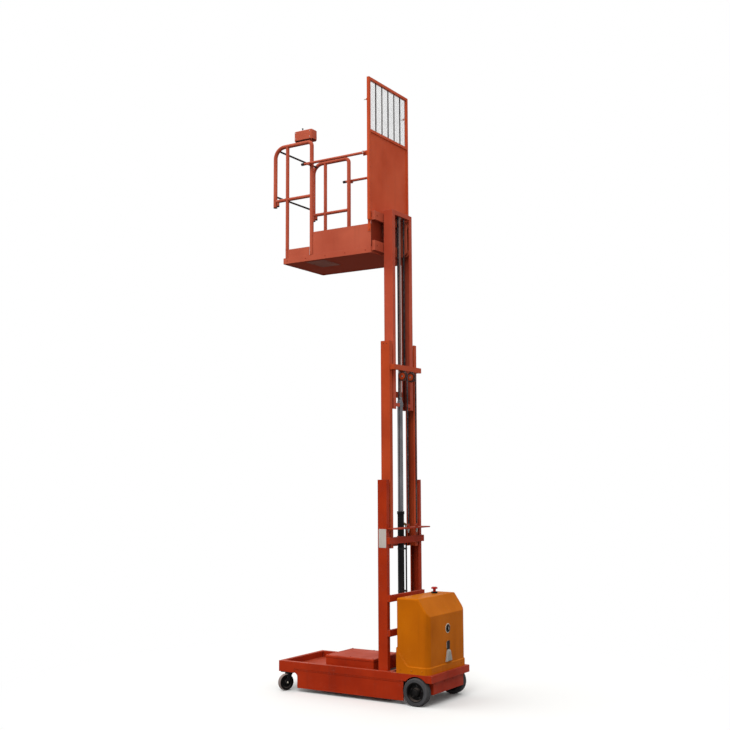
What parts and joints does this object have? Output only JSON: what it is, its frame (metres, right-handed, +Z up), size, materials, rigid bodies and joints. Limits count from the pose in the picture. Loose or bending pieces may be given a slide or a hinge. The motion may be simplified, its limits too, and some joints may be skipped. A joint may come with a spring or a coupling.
{
  "type": "order picker truck",
  "caption": "Walk-up order picker with a raised three-stage mast, telescopic lifting cylinder, guarded platform, tall backrest and low wheeled chassis.",
  "frame": {"origin": "on the floor, under the middle of the overall length and width", "axes": "+X forward, towards the platform and the casters; +Y left; +Z up"},
  "size_m": [1.684, 0.8166, 5.532],
  "materials": {
    "chassis_paint": "satin",
    "mast_paint": "satin",
    "platform_paint": "satin",
    "cover_yellow": "semi-gloss",
    "dark_steel": "satin",
    "bare_steel": "brushed",
    "chrome": "polished",
    "chain_steel": "oiled",
    "tyre_grey": "matte",
    "tread_grey": "matte",
    "hub_black": "satin",
    "hose_rubber": "matte",
    "mat_rubber": "matte",
    "stop_red": "gloss",
    "fitting_grey": "satin",
    "control_plastic": "satin"
  },
  "bodies": {
    "chassis": {"chassis_rails": "chassis_paint", "floor_plate": "chassis_paint", "side_skirts": "chassis_paint", "rear_plate": "chassis_paint", "raised_box": "chassis_paint", "rear_axle": "dark_steel", "caster_mounts": "dark_steel", "outer_columns": "mast_paint", "outer_crossbars": "mast_paint", "cylinder_clamp": "mast_paint", "anchor_plate": "mast_paint", "cylinder_barrel": "dark_steel", "outer_chains": "chain_steel", "power_cover": "cover_yellow", "power_block": "dark_steel", "stop_button": "stop_red", "cover_fittings": "fitting_grey", "hydraulic_hose": "hose_rubber"},
    "middle_mast": {"middle_columns": "mast_paint", "middle_crossbars": "mast_paint", "chain_wheels": "bare_steel", "inner_chains": "chain_steel", "carriage_chains": "chain_steel"},
    "plunger": {"first_plunger": "chrome"},
    "inner_mast": {"inner_columns": "mast_paint", "inner_crossbars": "mast_paint", "upper_plunger": "chrome"},
    "platform": {"carriage": "platform_paint", "platform_deck": "platform_paint", "floor_mat": "mat_rubber", "kick_plates": "platform_paint", "guard_frames": "platform_paint", "front_rails": "dark_steel", "control_box": "control_plastic", "backrest_frame": "platform_paint", "backrest_panel": "platform_paint", "backrest_mesh": "bare_steel"},
    "rear_wheel_left": {"rear_hub_left": "hub_black", "rear_tyre_left": "tyre_grey"},
    "caster_left": {"caster_fork_left": "dark_steel"},
    "caster_wheel_left": {"caster_hub_left": "hub_black", "caster_tread_left": "tread_grey"},
    "gate_left": {"gate_bar_left": "platform_paint"},
    "rear_wheel_right": {"rear_hub_right": "hub_black", "rear_tyre_right": "tyre_grey"},
    "caster_right": {"caster_fork_right": "dark_steel"},
    "caster_wheel_right": {"caster_hub_right": "hub_black", "caster_tread_right": "tread_grey"},
    "gate_right": {"gate_bar_right": "platform_paint"}
  },
  "joints": [
    {"name": "rear_wheel_left_spin", "type": "hinge", "parent": "chassis", "child": "rear_wheel_left", "pos_m": [-0.69, 0.303, 0.115], "axis": [0, 1, 0], "continuous": true},
    {"name": "caster_left_swivel", "type": "hinge", "parent": "chassis", "child": "caster_left", "pos_m": [0.648, 0.305, 0.16], "axis": [0, 0, 1], "continuous": true},
    {"name": "caster_wheel_left_spin", "type": "hinge", "parent": "caster_left", "child": "caster_wheel_left", "pos_m": [0.6615, 0.3362, 0.0725], "axis": [-0.9178, 0.3971, 0], "continuous": true},
    {"name": "rear_wheel_right_spin", "type": "hinge", "parent": "chassis", "child": "rear_wheel_right", "pos_m": [-0.69, -0.303, 0.115], "axis": [0, 1, 0], "continuous": true},
    {"name": "caster_right_swivel", "type": "hinge", "parent": "chassis", "child": "caster_right", "pos_m": [0.648, -0.305, 0.16], "axis": [0, 0, 1], "continuous": true},
    {"name": "caster_wheel_right_spin", "type": "hinge", "parent": "caster_right", "child": "caster_wheel_right", "pos_m": [0.6615, -0.3362, 0.0725], "axis": [0.9178, 0.3971, 0], "continuous": true},
    {"name": "mast_stage_one", "type": "slide", "parent": "chassis", "child": "middle_mast", "axis": [0, 0, 1], "range_m": [-1.22, 0], "deforming": ["outer_chains"]},
    {"name": "plunger_lift", "type": "slide", "parent": "chassis", "child": "plunger", "axis": [0, 0, 1], "range_m": [-0.93, 0]},
    {"name": "mast_stage_two", "type": "slide", "parent": "middle_mast", "child": "inner_mast", "axis": [0, 0, 1], "range_m": [-1.22, 0], "deforming": ["inner_chains", "carriage_chains"]},
    {"name": "carriage_lift", "type": "slide", "parent": "inner_mast", "child": "platform", "axis": [0, 0, 1], "range_m": [-1.12, 0]},
    {"name": "gate_left_lift", "type": "hinge", "parent": "platform", "child": "gate_left", "pos_m": [-0.201, 0.3535, 4.826], "axis": [0, -1, 0], "range_deg": [0, 90]},
    {"name": "gate_right_lift", "type": "hinge", "parent": "platform", "child": "gate_right", "pos_m": [-0.201, -0.3535, 4.826], "axis": [0, -1, 0], "range_deg": [0, 90]}
  ],
  "couplings": [
    {"joint": "plunger_lift", "follows": "mast_stage_one", "ratio": 0.76229},
    {"joint": "mast_stage_two", "follows": "mast_stage_one", "ratio": 1},
    {"joint": "carriage_lift", "follows": "mast_stage_one", "ratio": 0.91803}
  ]
}
